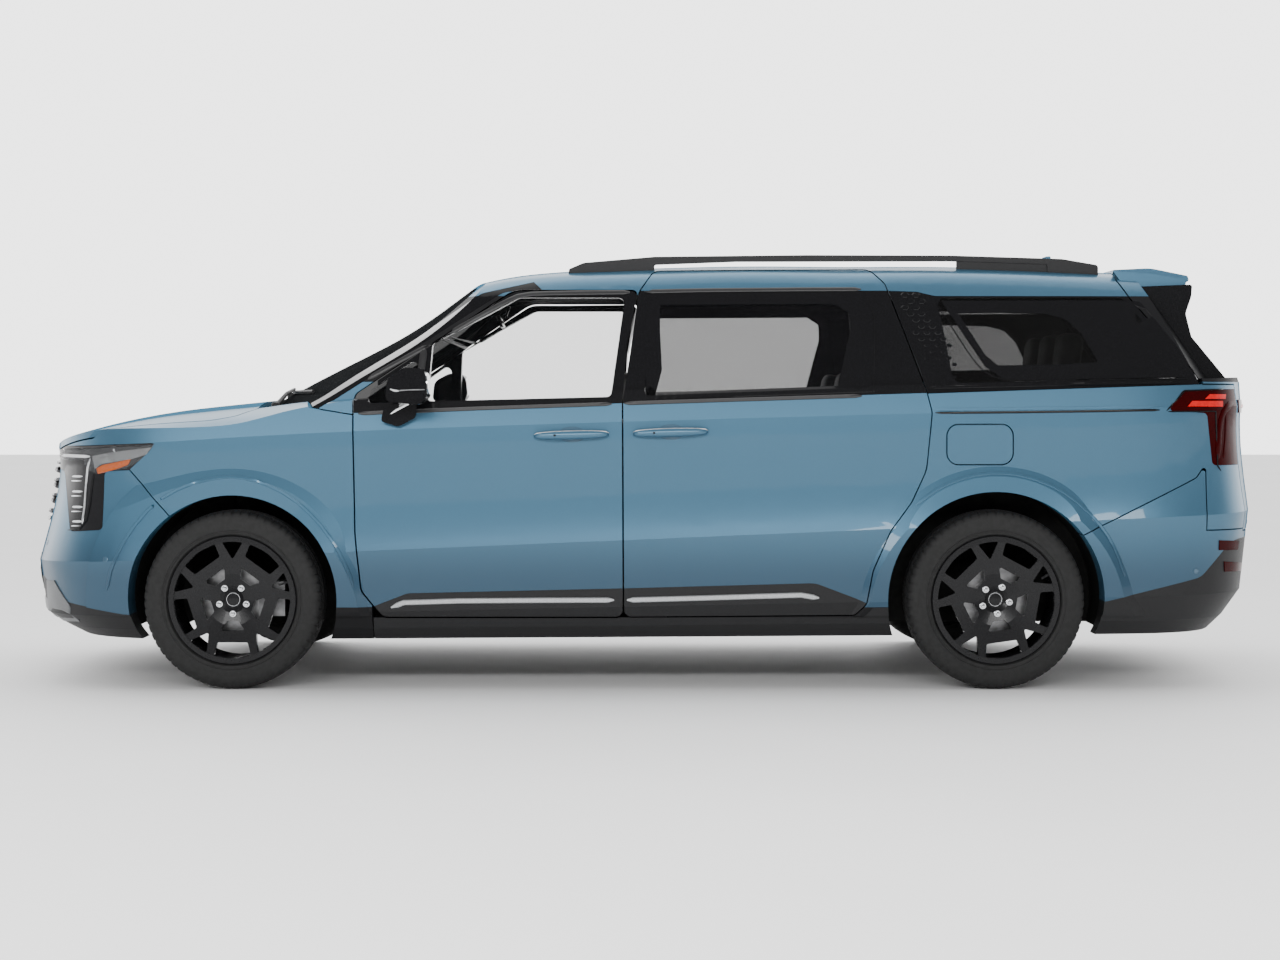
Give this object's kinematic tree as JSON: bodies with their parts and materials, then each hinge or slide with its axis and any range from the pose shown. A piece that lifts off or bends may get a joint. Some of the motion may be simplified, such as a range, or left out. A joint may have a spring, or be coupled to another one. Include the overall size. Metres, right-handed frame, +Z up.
{
  "type": "sliding-door minivan",
  "caption": "Full-size family minivan with front hinged doors, sliding rear side doors, a hood, a liftback tailgate, steered front wheels and a see-through cabin.",
  "frame": {"origin": "on the ground under the centre of the body's bounding box", "axes": "+X to the rear, +Y to the vehicle's right side, +Z up; the front looks along -X"},
  "size_m": [5.1556, 2.304, 1.8095],
  "materials": {
    "body_paint": "metallic gloss",
    "black_trim": "matte",
    "gloss_black": "gloss",
    "glass_clear": "clear",
    "glass_tinted": "tinted",
    "lamp_clear": "clear",
    "lamp_red": "gloss",
    "tyre_rubber": "matte",
    "rim_black": "painted gloss",
    "brake_steel": "machined",
    "underbody": "matte",
    "interior_dark": "grained",
    "seat_leather": "satin",
    "engine_grey": "cast"
  },
  "bodies": {
    "body": {"body_shell": "body_paint", "front_bumper": "body_paint", "grille": "gloss_black", "headlamps": "lamp_clear", "front_fenders": "body_paint", "rear_bumper": "body_paint", "tail_lamps": "lamp_red", "sliding_doors": "body_paint", "sliding_door_glass": "glass_tinted", "quarter_glass": "glass_tinted", "windshield": "glass_clear", "wheel_arch_liners": "underbody", "floor_pan": "underbody", "cowl_panel": "black_trim", "dashboard": "interior_dark", "front_seats": "seat_leather", "middle_seats": "seat_leather", "rear_seat": "seat_leather", "engine_block": "engine_grey", "front_suspension": "underbody", "rear_suspension": "underbody", "front_lower_trim": "black_trim", "rear_lower_trim": "black_trim", "sill_trim": "black_trim", "pillar_trim": "gloss_black", "sliding_door_frames": "gloss_black", "sliding_door_cladding": "black_trim", "roof_rails": "black_trim", "underbody": "underbody"},
    "hood": {"hood": "body_paint"},
    "tailgate": {"tailgate": "body_paint", "tailgate_glass": "glass_tinted", "spoiler": "body_paint", "tailgate_trim": "gloss_black"},
    "fuel_flap": {"fuel_flap": "body_paint"},
    "front_door_left": {"front_door_left": "body_paint", "front_door_glass_left": "glass_clear", "front_door_frame_left": "gloss_black", "front_door_cladding_left": "black_trim", "mirror_left": "gloss_black"},
    "front_door_right": {"front_door_right": "body_paint", "front_door_glass_right": "glass_clear", "front_door_frame_right": "gloss_black", "front_door_cladding_right": "black_trim", "mirror_right": "gloss_black"},
    "steering_wheel": {"steering_wheel": "interior_dark"},
    "knuckle_left": {"knuckle_left": "engine_grey"},
    "knuckle_right": {"knuckle_right": "engine_grey"},
    "wheel_front_left": {"rim_front_left": "rim_black", "tyre_front_left": "tyre_rubber", "brake_front_left": "brake_steel"},
    "wheel_front_right": {"rim_front_right": "rim_black", "tyre_front_right": "tyre_rubber", "brake_front_right": "brake_steel"},
    "wheel_rear_left": {"rim_rear_left": "rim_black", "tyre_rear_left": "tyre_rubber", "brake_rear_left": "brake_steel"},
    "wheel_rear_right": {"rim_rear_right": "rim_black", "tyre_rear_right": "tyre_rubber", "brake_rear_right": "brake_steel"}
  },
  "joints": [
    {"name": "hood_hinge", "type": "hinge", "parent": "body", "child": "hood", "pos_m": [-1.6, 0, 1.168], "axis": [0, 1, 0], "range_deg": [0, 50]},
    {"name": "tailgate_hinge", "type": "hinge", "parent": "body", "child": "tailgate", "pos_m": [1.93, 0, 1.682], "axis": [0, -1, 0], "range_deg": [0, 80]},
    {"name": "fuel_flap_hinge", "type": "hinge", "parent": "body", "child": "fuel_flap", "pos_m": [1.252, -0.968, 0.991], "axis": [0, 0, -1], "range_deg": [0, 85]},
    {"name": "front_door_left_hinge", "type": "hinge", "parent": "body", "child": "front_door_left", "pos_m": [-1.113, -0.97, 0.7], "axis": [0, 0, -1], "range_deg": [0, 65]},
    {"name": "front_door_right_hinge", "type": "hinge", "parent": "body", "child": "front_door_right", "pos_m": [-1.113, 0.97, 0.7], "axis": [0, 0, 1], "range_deg": [0, 65]},
    {"name": "steer_left", "type": "hinge", "parent": "body", "child": "knuckle_left", "pos_m": [-1.6495, -0.8, 0.362], "axis": [0, 0, 1], "range_deg": [-32, 32]},
    {"name": "steer_right", "type": "hinge", "parent": "body", "child": "knuckle_right", "pos_m": [-1.6495, 0.8, 0.362], "axis": [0, 0, 1], "range_deg": [-32, 32]},
    {"name": "steering_wheel_turn", "type": "hinge", "parent": "body", "child": "steering_wheel", "pos_m": [-0.745, -0.39, 0.985], "axis": [0.891, 0, 0.454], "range_deg": [-480, 480]},
    {"name": "wheel_front_left_spin", "type": "hinge", "parent": "knuckle_left", "child": "wheel_front_left", "pos_m": [-1.6495, -0.86, 0.362], "axis": [0, 1, 0], "continuous": true},
    {"name": "wheel_front_right_spin", "type": "hinge", "parent": "knuckle_right", "child": "wheel_front_right", "pos_m": [-1.6495, 0.86, 0.362], "axis": [0, 1, 0], "continuous": true},
    {"name": "wheel_rear_left_spin", "type": "hinge", "parent": "body", "child": "wheel_rear_left", "pos_m": [1.4405, -0.86, 0.362], "axis": [0, 1, 0], "continuous": true},
    {"name": "wheel_rear_right_spin", "type": "hinge", "parent": "body", "child": "wheel_rear_right", "pos_m": [1.4405, 0.86, 0.362], "axis": [0, 1, 0], "continuous": true}
  ],
  "couplings": [
    {"joint": "steer_right", "follows": "steer_left", "ratio": 1},
    {"joint": "steering_wheel_turn", "follows": "steer_left", "ratio": 15}
  ]
}
